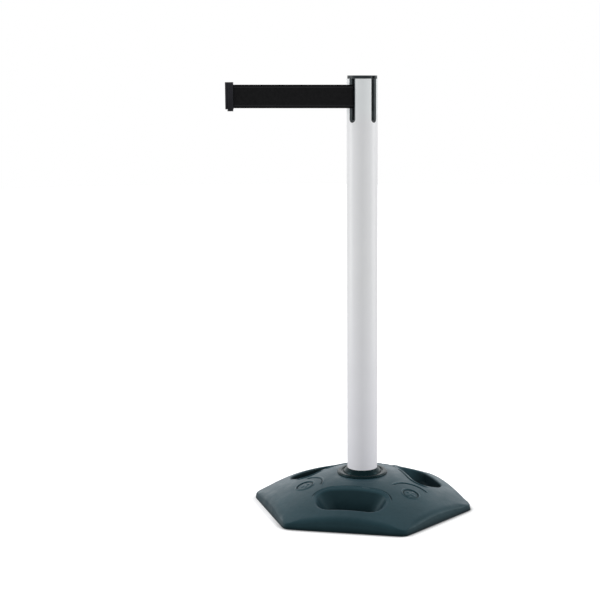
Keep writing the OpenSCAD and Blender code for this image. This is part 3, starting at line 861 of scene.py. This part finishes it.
def rubber_base():
    """Points and faces of the base, and a value per point: above 0 it is rubbed paler, below 0 it is painted darker
    with shade.
    """
    points, faces, rub_and_shade = [], [], []

    def put(rows, rub_shade=0.0):
        start = len(points)
        points.extend(map(tuple, rows))
        rub_and_shade.extend(np.broadcast_to(rub_shade, len(rows)))
        return start

    # rim and shoulder, with more stations at the six corners
    sides = 576
    even = np.arange(sides) / sides * math.tau
    corner_turn = math.pi / 6 - math.atan(
        (HOLD_SIDE - PLAIN_SIDE / 2) / (PLAIN_SIDE * math.sin(math.pi / 3))
    )
    angle = even - 0.12 * np.sin(6 * even)
    angle = angle + corner_turn * np.cos(3 * angle)
    plan = np.column_stack([np.cos(angle), np.sin(angle)])

    def circle_row(radius, z, plan=plan):
        return np.column_stack([plan * np.reshape(radius, (-1, 1)), np.broadcast_to(z, len(plan))])

    outer = hex_radius(angle)
    starts = []
    for r, z in (
        (BOLT_HOLE_R, POST_FOOT), (BOLT_HOLE_R, PLATE_TOP), (PLATE_R, PLATE_TOP), (PLATE_R, 0.0),
        (PLATE_R + 8, 0.0), (150.0, 0.0)
    ):
        starts.append(put(circle_row(r, z)))
    # the bottom edge: painted near black with shade
    for r, z in ((outer - 2.2, 0.0), (outer - 1.0, 0.3), (outer - 0.3, 1.1), (outer - 0.5, 2.6)):
        starts.append(put(circle_row(r, z), -0.95))
    inner_r, outer_r = outer * 0.8, outer.copy()
    for _ in range(30):
        edge_r = (inner_r + outer_r) / 2
        high = dome_z(edge_r, 0) > (outer - edge_r) / SIDE_LEAN
        inner_r, outer_r = np.where(high, inner_r, edge_r), np.where(high, edge_r, outer_r)
    edge_z = dome_z(edge_r, 0)
    # the edge is crisper at the corners
    soft = np.clip((outer.max() - outer) / 12.0, CORNER_EDGE, 1.0)
    edge_down, edge_in = EDGE_DOWN * soft, EDGE_IN * soft
    # the side: painted darker with shade, less so higher up
    for share, rub_shade in ((0.3, -0.75), (0.65, -0.5)):
        z = 2.6 + (edge_z - edge_down - 2.6) * share
        starts.append(put(circle_row(outer - z * SIDE_LEAN, z), rub_shade))
    edge = circle_row(edge_r, edge_z)
    down = circle_row(edge_r + edge_down * SIDE_LEAN, edge_z - edge_down)
    up = circle_row(edge_r - edge_in, dome_z(edge_r - edge_in, 0))
    # the rounded edge: painted shade fading out from the side onto the dome
    for t in np.linspace(0, 1, 13):
        starts.append(put(bend(down, edge, up, t), -0.5 * (1 - t) ** 1.1))
    for share in (0.4, 1.0):
        inset = edge_in + (BORDER_IN - edge_in) * share
        starts.append(put(circle_row(edge_r - inset, dome_z(edge_r - inset, 0))))
    for a, b in zip(starts, starts[1:]):
        faces += ring_faces(a, b, sides)
    border = [starts[-1] + i for i in range(sides)]

    # the land, and the socket for the post
    inner_sides = 144
    flat = np.arange(inner_sides) / inner_sides * math.tau
    spokes = np.column_stack([np.cos(flat), np.sin(flat)])
    socket = [
        put(circle_row(r, z, spokes))
        for r, z in ((LAND_R + 3, dome_z([LAND_R + 3], [0])[0]), (LAND_R, DOME_H - 0.15),
                     (LAND_R - 3, DOME_H), (34.0, DOME_H), (POST_R + 0.2, DOME_H - 0.8),
                     (POST_R + 0.2, POST_FOOT), (20.0, POST_FOOT))
    ]
    for a, b in zip(socket, socket[1:]):
        faces += ring_faces(b, a, inner_sides)

    # hand holds as quad strips; their outer rows bound the triangulated skin
    hold_rows, holes = [], []
    for degrees in HOLD_ANGLES:
        rows = hand_hold(degrees)
        begin = [put(*row) for row in rows]
        n = len(rows[0][0])
        for a, b in zip(begin, begin[1:]):
            faces += ring_faces(a, b, n)
        faces.append(tuple(begin[0] + i for i in range(n - 1, -1, -1)))
        hold_rows.append((begin[-1], n))
        holes.append(rows[-1][0][:, :2])

    # skin of the dome between them
    loops = [border] + [[s + i for i in range(n)] for s, n in hold_rows]
    loops.append([socket[0] + i for i in range(inner_sides)])
    fixed = [i for loop in loops for i in loop]
    spot = {v: k for k, v in enumerate(fixed)}
    skin = [points[i][:2] for i in fixed]
    edges = [(spot[a], spot[b]) for loop in loops for a, b in zip(loop, loop[1:] + loop[:1])]
    bounds = circle_row(edge_r - BORDER_IN, 0)[:, :2]
    sites = dome_sites(bounds, holes)
    begin = len(points)
    z = dome_z(sites[:, 0], sites[:, 1])
    rub_shade = np.zeros(len(sites))
    # the marks: lips and plus rubbed paler, grooves painted darker with shade
    for degrees in MARK_ANGLES:
        local = turn(sites, -degrees)
        extra_z, mark_tone = mark_height(local[:, 0], local[:, 1], MARKS[degrees])
        z, rub_shade = z + extra_z, rub_shade + mark_tone
    put(np.column_stack([sites, z]), rub_shade)
    skin += [tuple(p) for p in sites]
    index = fixed + list(range(begin, begin + len(sites)))
    found = delaunay_2d_cdt([Vector(p) for p in skin], edges, [], 0, 1e-5, True)
    back = [origin[0] if origin else None for origin in found[3]]
    centres = np.array([np.mean([found[0][i] for i in f], axis=0) for f in found[2]])
    drop = ~inside(centres, bounds)
    for loop in [*holes, np.array(points[socket[0]:socket[0] + inner_sides])[:, :2]]:
        drop |= inside(centres, loop)
    for f, gone in zip(found[2], drop):
        if not gone:
            faces.append(tuple(index[back[i]] for i in f))
    return points, faces, rub_and_shade


base_points, base_faces, base_rub_and_shade = rubber_base()
base = piece("base_shell", base_points, base_faces, "base_rubber", "stand", ["rubber_base"], sharp=48)
# the per-point value for the material: rubbed paler above 0, painted shade below 0
rub_and_shade_layer = base.data.attributes.new("rub_and_shade", "FLOAT", "POINT")
rub_and_shade_layer.data.foreach_set("value", np.array(base_rub_and_shade, np.float32))

collar_profile = rounded(
    [
        (POST_R + 0.3, 65.1), (POST_R + 0.3, 82.9), (POST_R + 1.4, 82.9), (41.2, 75.2), (42.0, 72.6),
        (45.6, 72.6), (46.4, 75.0), (53.2, 75.0), (55.0, 72.4), (55.0, 70.05), (45.0, 70.05), (45.0, 65.1)
    ],
    [0.2, 0.5, 0.6, 1.0, 1.0, 1.0, 1.0, 1.6, 1.2, 0.2, 0.2, 0.2],
)
piece("collar_ring", *lathe(collar_profile, 192), "collar_plastic", "stand", ["base_collar"])

# -------- post


def u_path(arc_steps, leg_steps, top, centre):
    """Stations round a slot: down one leg, round the foot, up the other leg."""
    down = [("leg", -1, top + (centre - top) * i / leg_steps) for i in range(leg_steps)]
    foot = [("arc", math.pi + math.pi * i / arc_steps, centre) for i in range(arc_steps + 1)]
    up = [("leg", 1, centre + (top - centre) * i / leg_steps) for i in range(1, leg_steps + 1)]
    return down + foot + up


def u_point(station, reach):
    """(across, height) of a station at a distance from the slot's centre line."""
    kind, value, z = station
    if kind == "leg":
        return value * reach, z
    return reach * math.cos(value), z + reach * math.sin(value)


def on_post(across, z, depth, degrees):
    """A point under the post's surface, on the side that faces that way."""
    x = math.sqrt(max((POST_R - depth) ** 2 - across**2, 0.0))
    c, s = math.cos(math.radians(degrees)), math.sin(math.radians(degrees))
    return (c * x - s * across, s * x + c * across, z)


def post_tube():
    """The tube in four quarters, each with a slot whose edge is turned in a little."""
    centre = SLOT_FOOT + SLOT_HALF
    edge_w = POST_R * math.sin(math.pi / 4)
    floor_z = centre - 30.0
    stations = u_path(44, 10, POST_TOP, centre)
    corner = math.atan2(centre - floor_z, edge_w)
    for value in (math.pi + corner, math.tau - corner):
        at = next(i for i, s in enumerate(stations) if s[0] == "arc" and s[1] > value)
        stations.insert(at, ("arc", value, centre))
    lip = [(8.42, 0.0), (8.2, 0.06), (8.06, 0.2), (8.0, 0.42), (8.0, POST_WALL)]
    points, faces = [], []
    for degrees in (0, 90, 180, 270):
        start = len(points)
        for kind, value, z in stations:
            if kind == "leg":
                far = (value * edge_w, z)
            else:
                dx, dz = math.cos(value), math.sin(value)
                reach = min(edge_w / max(abs(dx), 1e-9), (centre - floor_z) / max(-dz, 1e-9))
                far = (reach * dx, centre + reach * dz)
            near = u_point((kind, value, z), lip[0][0])
            skin = [[a + (b - a) * t for a, b in zip(near, far)] for t in (1.0, 0.66, 0.33, 0.12)]
            row = [(*p, 0.0) for p in skin]
            row += [(*u_point((kind, value, z), reach), depth) for reach, depth in lip]
            row += [(*p, POST_WALL) for p in reversed(skin)]
            width = len(row)
            scale = (POST_R - POST_WALL) / POST_R
            for w, h, depth in row:
                w = w * (scale if depth == POST_WALL and abs(w) > 9 else 1.0)
                points.append(on_post(w, h, depth, degrees))
        for i in range(len(stations) - 1):
            a, b = start + i * width, start + (i + 1) * width
            faces += [(a + j, b + j, b + j + 1, a + j + 1) for j in range(width - 1)]
        for i in (0, len(stations) - 1):
            a = start + i * width
            faces += [(a + j, a + j + 1, a + width - 2 - j, a + width - 1 - j) for j in range(width // 2)]
        low_outer = [
            start + i * width for i in range(len(stations))
            if stations[i][0] == "arc" and points[start + i * width][2] < floor_z + 0.001
        ]
        # from there down to the foot: outside, inside and the end face
        for i, j in zip(low_outer, low_outer[1:]):
            a, b, c, d = (points[k] for k in (i, j, j + width - 1, i + width - 1))
            foot_a, foot_b, foot_c, foot_d = ((x, y, POST_FOOT) for x, y, _ in (a, b, c, d))
            for quad in ((a, b, foot_b, foot_a), (d, c, foot_c, foot_d), (foot_a, foot_b, foot_c, foot_d)):
                faces.append(tuple(range(len(points), len(points) + 4)))
                points += quad
    return points, faces


post = piece("post_shell", *post_tube(), "post_paint", "stand", ["post_tube"])
bm = bmesh.new()
bm.from_mesh(post.data)
bmesh.ops.remove_doubles(bm, verts=bm.verts, dist=0.02 * MM)
bm.to_mesh(post.data)
bm.free()
post.data.shade_smooth()
mark_sharp(post.data, 35)

# -------- channels in the slots


def channel(degrees, inner):
    """Slot lining: a lip profile swept round the slot, with the T-shaped space behind it."""
    top = POST_TOP - 0.05
    centre = SLOT_FOOT + SLOT_HALF
    half = SLOT_HALF - 0.15
    stations = u_path(32, 6, top, centre)
    lip = rounded(
        [(half, 9.0), (half, 0.15), (7.0, 0.1), (THROAT_HALF, 3.1), (THROAT_HALF, 4.9),
         (CAVITY_HALF, 4.9), (CAVITY_HALF, 9.0)],
        [0.1, 0.45, 0.5, 0.7, 0.3, 0.2, 0.1],
    )
    points, faces = [], []
    for station in stations:
        for reach, depth in lip:
            across, z = u_point(station, reach)
            points.append(on_post(across, z, depth, degrees))
    n = len(lip)
    for i in range(len(stations) - 1):
        faces += ring_faces(i * n, (i + 1) * n, n)
    faces.append(tuple(range(n)))
    faces.append(tuple((len(stations) - 1) * n + i for i in range(n - 1, -1, -1)))
    c, s = math.cos(math.radians(degrees)), math.sin(math.radians(degrees))

    def place(x, y, z):
        return (c * x - s * y, s * x + c * y, z)

    parts = [(points, faces)]
    if inner:
        outer = CAVITY_OUT + 0.2
        wing = [(inner, -8), (outer, -9.6), (outer, -CAVITY_HALF), (CAVITY_IN, -CAVITY_HALF),
                (CAVITY_IN, CAVITY_HALF), (outer, CAVITY_HALF), (outer, 9.6), (inner, 8)]
        parts.append(slab(rounded(wing, 0.4, 2), SLOT_FOOT + 1, top, place, 0.2, 1))
        stop = [(23.0, -5.6), (26.5, -5.6), (26.5, 5.6), (23.0, 5.6)]
        parts.append(slab(rounded(stop, 0.4, 2), SLOT_FOOT + 1.2, STOP_Z, place, 0.3, 2))
    return merge(*parts)


for name, degrees in (("front", -90), ("right", 0), ("back", 90)):
    piece(f"channel_{name}", *channel(degrees, 22.0), "channel_plastic", "stand", [f"receiver_{name}"])
piece("channel_belt", *channel(180, 0), "channel_plastic", "stand", ["exit_guide"])

# -------- cap


def cap_outline():
    """The cap seen from above: a disc with three T-shaped ways in to the receivers."""
    cap_r, mouth_half = POST_R - 1.2, 5.2
    half = [(cap_r - 0.45, mouth_half), (31.2, 4.5), (30.0, THROAT_HALF), (CAVITY_OUT, THROAT_HALF),
            (CAVITY_OUT, CAVITY_HALF), (CAVITY_IN, CAVITY_HALF)]
    way = rounded([(x, -y) for x, y in half] + half[::-1], 0.45, 2, closed=False)
    reach = math.asin(mouth_half / cap_r)
    outline = []
    for k in range(4):
        mid = math.pi + math.pi / 2 * k
        if k:
            c, s = math.cos(mid), math.sin(mid)
            outline += [(c * x - s * y, s * x + c * y) for x, y in way]
        begin = mid + (reach if k else 0.0)
        end = mid + math.pi / 2 - (reach if k < 3 else 0.0)
        steps = 30
        first = 1 if k else 0
        outline += [
            (cap_r * math.cos(begin + (end - begin) * i / steps),
             cap_r * math.sin(begin + (end - begin) * i / steps))
            for i in range(first, steps)
        ]
    return outline


screw_seats = [
    block(circle(x, 0, 4.0, 48), TOTAL_H - 2.6, TOTAL_H + 3.4, lambda *p: p) for x in (-13.0, 13.0)
]
cap_shape = carved(slab(cap_outline(), POST_TOP, TOTAL_H, None, 0.5, 3), *screw_seats)
piece("head_cap", *cap_shape, "cap_plastic", "stand", ["top_cap"])

# -------- webbing


def ribbon(path, lo, hi, thick, name, body=None, replaces=(), blend=None, start=0.0, coarse=False):
    """A woven strip on edge along a plan path, with thicker rolled selvedges and a UV in metres.

    Gives the object and the strip's length. A coarse strip has fewer stations over its width.
    """
    path = np.array(path, float)
    step = np.diff(path, axis=0)
    length = np.concatenate([[0], np.cumsum(np.linalg.norm(step, axis=1))])
    tangent = np.gradient(path, axis=0)
    tangent /= np.linalg.norm(tangent, axis=1, keepdims=True)
    normal = np.column_stack([-tangent[:, 1], tangent[:, 0]])
    width = hi - lo
    levels = [0.0, 0.25, 0.7, 1.3, 2.1, 2.9, 3.4, 3.7, 4.2, 5.0, 5.9, 6.5]
    levels += list(np.linspace(8.5, width - 8.5, 12)) + [width - v for v in reversed(levels)]
    if coarse:
        levels = [0.0, 0.7, 3.4, 3.7, 4.2]
        levels += [width / 2] + [width - v for v in reversed(levels)]
    section = []
    for v in levels:
        d = min(v, width - v)
        body_t = thick / 2 * (0.8 + 0.2 * math.exp(-(((d - 1.7) / 1.3) ** 2)))
        body_t -= 0.035 * math.exp(-(((d - 3.7) / 0.35) ** 2))
        section.append((v, body_t * min(1.0, math.sqrt(d / 0.7)) if d < 0.7 else body_t))
    loop = [(v, t) for v, t in section] + [(v, -t) for v, t in reversed(section[1:-1])]
    points, uv = [], []
    for p, n, s in zip(path, normal, length):
        for v, t in loop:
            points.append((p[0] + n[0] * t, p[1] + n[1] * t, lo + v))
            uv.append((v * MM, (start + s) * MM))
    n = len(loop)
    faces = []
    for i in range(len(path) - 1):
        faces += ring_faces(i * n, (i + 1) * n, n)
    faces.append(tuple(range(n - 1, -1, -1)))
    faces.append(tuple((len(path) - 1) * n + i for i in range(n)))
    obj = piece(name, points, faces, "webbing", body, replaces, blend, uv, sharp=60)
    return obj, length[-1]


# stations only at the ends, so that the strip lengthens and shortens evenly with belt_pull
belt_path = [along(a, 0, 0)[:2] for a in (0.3, BELT_OUT, BELT_OUT + 1.9)]
belt_strip, belt_len = ribbon(
    belt_path, BELT_LO, BELT_HI, BELT_T, "belt_strip", replaces=["belt"],
    blend=("belt", "belt_end", along(0, 0, BELT_LO), along(BELT_OUT, 0, BELT_LO)),
)
lead_off = COIL_R + BELT_T / 2 + 0.02
lead_at = math.pi - math.acos(lead_off / MOUTH)
lead_len = math.sqrt(MOUTH**2 - lead_off**2) - 0.5
lead_from = np.array([math.cos(lead_at), math.sin(lead_at)]) * lead_off
lead_dir = np.array([-math.sin(lead_at), math.cos(lead_at)])
lead_path = [lead_from + lead_dir * lead_len * i / 12 for i in range(13)]
ribbon(
    lead_path, BELT_LO, BELT_HI, BELT_T, "belt_lead_strip", "stand", ["belt_lead"], start=-0.024 / MM
)

turns = round((COIL_R - CORE_R) / BELT_T)
coil_path = []
for i in range(turns * 40 + 1):
    a = lead_at - math.tau * i / 40
    r = COIL_R - BELT_T / 2 - (COIL_R - CORE_R - BELT_T) * i / (turns * 40)
    coil_path.append((r * math.cos(a), r * math.sin(a)))
ribbon(
    coil_path, BELT_LO, BELT_HI, BELT_T * 0.9, "belt_coil_strip", "drum", ["belt_coil"], start=-1900.0,
    coarse=True,
)

# the loop round the pin
HEM_AT, HEM_R = 4.2, 1.78
hem_path = []
for i in range(41):
    a = math.pi + 0.22 + (math.tau - 0.44) * i / 40
    hem_path.append(along(BELT_OUT + HEM_AT + HEM_R * math.cos(a), HEM_R * math.sin(a), 0)[:2])
ribbon(
    hem_path, BELT_LO, BELT_HI, BELT_T * 0.94, "belt_hem_strip", "belt_end", ["belt_hem"],
    start=BELT_OUT, coarse=True,
)

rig.sheet(belt_strip, flat=(BELT_W * MM, belt_len * MM), held="stretched", rests_on=["belt_end_pin"])

# -------- belt end


def end_place(a, w, z):
    return along(BELT_OUT + a, w, z)


def rect(a0, a1, w0, w1, radius):
    return rounded([(a0, w0), (a1, w0), (a1, w1), (a0, w1)], radius, 4)


END_LO, END_HI, END_HALF, STEM_AT = BELT_LO - 2.4, BELT_HI + 5.2, 4.25, 10.6
webbing_way = block(rect(-1.0, 4.2, -0.6, 0.6, 0), BELT_LO - 0.3, BELT_HI + 0.3, end_place)
pin_room = block(circle(HEM_AT, 0, 2.4, 40), BELT_LO - 0.3, BELT_HI + 0.3, end_place)
button_room = block(rect(0.6, 9.0, -3.3, 3.3, 0.5), END_LO - 2, END_LO + 1.7, end_place)
screw_room = [
    block(circle(a, BELT_HI + 2.95, 1.75, 32), END_HALF - 1.3, 6.0, lambda x, z, w: end_place(x, w, z))
    for a in (2.1, 5.9)
]
end_half = slab(rect(0, 8.0, -END_HALF, 1.0, [1.3, 0.9, 0.6, 0.6]), END_LO, END_HI, end_place, 0.38, 4)
end_neck = slab(rect(7.0, 14.0, -2.1, 2.1, 0.7), END_LO + 0.9, END_HI, end_place, 0.25, 3)
stem_way = block(circle(STEM_AT, 0, 1.25, 24), END_LO - 1, END_LO + 24, end_place)
plunger_way = block(rect(7.4, 13.0, -1.7, 1.7, 0), END_LO - 2, END_LO + 4.8, end_place)
end_tee = slab(rect(13.1, 17.0, -5.1, 5.1, 1.1), END_LO, END_HI, end_place, 0.7, 4)
end_cover = slab(rect(0, 7.95, 1.05, END_HALF, [0.6, 0.6, 0.9, 1.3]), END_LO, END_HI, end_place, 0.38, 4)
piece(
    "clip_body", *merge(
        carved(end_half, webbing_way, pin_room, button_room),
        carved(end_neck, stem_way, plunger_way, button_room), end_tee
    ),
    "clip_plastic", "belt_end", ["belt_end_body"],
)
piece(
    "clip_cover", *carved(end_cover, webbing_way, pin_room, button_room, *screw_room),
    "clip_plastic", "belt_end", ["belt_end_cover"],
)

button_lo = low("lock_button")[2]
button_pad = slab(rect(0.8, 8.0, -3.0, 3.0, 0.6), button_lo, END_LO - 0.12, end_place, 0.3, 3)
button_neck = slab(rect(7.6, 12.7, -2.0, 2.0, 0.5), button_lo, END_LO - 1.2, end_place, 0.3, 3)
plunger = slab(rect(7.8, 12.6, -1.5, 1.5, 0.3), button_lo + 1, END_LO + 2.0, end_place, 0.2, 2)
stem = slab(circle(STEM_AT, 0, 1.1, 32), END_LO, END_LO + 10, end_place, 0.2, 2)
piece(
    "button_shell", *merge(button_pad, button_neck, plunger, stem), "clip_plastic", "lock_button",
    ["lock_button"],
)

# the catch's spring, with a closed coil at each end; it shortens as the button goes in
COIL_MID, WIRE_R, PRESS = 0.85, 0.2, 1.8
coil_lo, coil_hi = low("lock_spring")[2], high("lock_spring")[2]
coil_x, coil_y = (np.array(low("lock_spring")) + high("lock_spring"))[:2] / 2
turn_steps, coil_turns, wire_sides = 28, 9, 10
climb = coil_hi - coil_lo - 2 * WIRE_R
wire_points, wire_faces = [], []
for i in range(coil_turns * turn_steps + 1):
    a = math.tau * i / turn_steps
    rise = np.interp(
        i / turn_steps, [0, 1, coil_turns - 1, coil_turns], [0, 2 * WIRE_R, climb - 2 * WIRE_R, climb]
    )
    for x, z in circle(COIL_MID, coil_lo + WIRE_R + rise, WIRE_R, wire_sides):
        wire_points.append((coil_x + x * math.cos(a), coil_y + x * math.sin(a), z))
    if i:
        wire_faces += ring_faces(i * wire_sides, (i - 1) * wire_sides, wire_sides)
wire_faces.append(tuple(range(wire_sides)))
wire_faces.append(tuple(range(len(wire_points) - 1, len(wire_points) - 1 - wire_sides, -1)))
catch_coil = piece("catch_coil", wire_points, wire_faces, "spring_steel", "belt_end", ["lock_spring"])
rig.squash(
    catch_coil, "lock_press", axis=(0, 0, 1), anchor=(coil_x * MM, coil_y * MM, coil_hi * MM),
    keep=1 - PRESS / (coil_hi - coil_lo),
)

# -------- carried-over CAD nodes

for name, obj in nodes.items():
    for slot in obj.material_slots:
        if slot.material is not None:
            slot.material = material(slot.material.name.split(".")[0])

# -------- floor, light and camera

# from the post towards the camera, and across its view
AZIMUTH, PITCH = math.radians(49.5), math.radians(9.44)
away = Vector((-math.sin(AZIMUTH), -math.cos(AZIMUTH), 0))
right = Vector((math.cos(AZIMUTH), -math.sin(AZIMUTH), 0))


def unseen_by_light(obj):
    """The object is seen and shaded, but throws no light back on the others."""
    obj.visible_diffuse = obj.visible_glossy = obj.visible_transmission = False
    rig.stage(obj)


bpy.ops.mesh.primitive_circle_add(vertices=96, radius=9.0, fill_type="NGON", location=(0, 0, -0.0002))
floor = bpy.context.object
floor.name = "studio_floor"
# the floor lights itself, apart from a narrow contact shadow that is weaker on the left
paper = Nodes(bpy.data.materials.new("floor_paper"))
contact = paper.add("ShaderNodeAmbientOcclusion", samples=16)
contact.inputs["Distance"].default_value = 0.018
open_share = paper.band(contact.outputs["AO"], 0.5, 0.97, 0.05, 1.0)
open_share = paper.math("MAXIMUM", open_share, paper.band(paper.dot(right), -0.2, -0.13, 0.8, 0.0))
tone = paper.mix(paper.noise(3, 2), (0.93, 0.93, 0.93), (0.95, 0.95, 0.95))
paper.set(
    Base_Color=paper.mix(open_share, (0.02, 0.02, 0.022), tone),
    Roughness=0.95, Specular_IOR_Level=0.0, Emission_Color=(1.0, 1.0, 1.0, 1.0),
    Emission_Strength=paper.math("MULTIPLY", open_share, 0.42),
)
floor.data.materials.append(paper.owner)
unseen_by_light(floor)

bpy.ops.mesh.primitive_uv_sphere_add(segments=48, ring_count=24, radius=14.0)
backdrop = bpy.context.object
backdrop.name = "studio_backdrop"
wall = Nodes(bpy.data.materials.new("backdrop_paper"))
wall.set(Base_Color=(0.0, 0.0, 0.0, 1.0), Specular_IOR_Level=0.0,
         Emission_Color=(1.0, 1.0, 1.0, 1.0), Emission_Strength=1.0)
backdrop.data.materials.append(wall.owner)
backdrop.visible_shadow = False
unseen_by_light(backdrop)

# the sky is a little stronger behind the post than in front, and weaker overhead and below
SKY_FRONT, SKY_BACK, SKY_HIGH, SKY_FLOOR = 1.35, 1.6, 0.45, 0.35
world = bpy.data.worlds.new("studio")
bpy.context.scene.world = world
sky = Nodes(world, "Background", "Generated")
height = sky.split()["Z"]
level = sky.band(sky.dot(away), -0.6, 0.75, SKY_BACK, SKY_FRONT, "SMOOTHSTEP")
level = sky.math("MULTIPLY", level, sky.band(height, 0.25, 0.75, 1.0, SKY_HIGH, "SMOOTHSTEP"))
level = sky.math("MULTIPLY", level, sky.band(height, -0.1, 0.12, SKY_FLOOR, 1.0, "SMOOTHSTEP"))
sky.set(Strength=level, Color=(0.98, 0.99, 1.0, 1.0))

for name, side, energy in (("left_softbox", -1, 11.0), ("right_softbox", 1, 10.0)):
    light = bpy.data.lights.new(name, "AREA")
    light.shape, light.size, light.size_y = "RECTANGLE", 0.7, 1.6
    light.energy = energy
    softbox = bpy.data.objects.new(name, light)
    bpy.context.scene.collection.objects.link(softbox)
    softbox.location = right * side * 1.9 - away * 0.1 + Vector((0, 0, 0.8))
    aim = Vector((0, 0, 0.6)) - softbox.location
    softbox.rotation_euler = aim.to_track_quat("-Z", "Y").to_euler()

CAMERA_BACK, CAMERA_HEIGHT = 2.861, 0.9325
view = bpy.data.cameras.new("camera")
view.lens, view.sensor_width = 80.1, 36.0
view.shift_x = -0.1037
camera = bpy.data.objects.new("camera", view)
bpy.context.scene.collection.objects.link(camera)
camera.location = away * CAMERA_BACK + Vector((0, 0, CAMERA_HEIGHT))
camera.rotation_euler = (math.pi / 2 - PITCH, 0, -AZIMUTH)
bpy.context.scene.camera = camera
bpy.context.scene.view_settings.view_transform = "Standard"

with open("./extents.json", "w") as out:
    json.dump({"cad": [list(v) for v in cad_box], "visual": [list(v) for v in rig.bounds()]}, out)
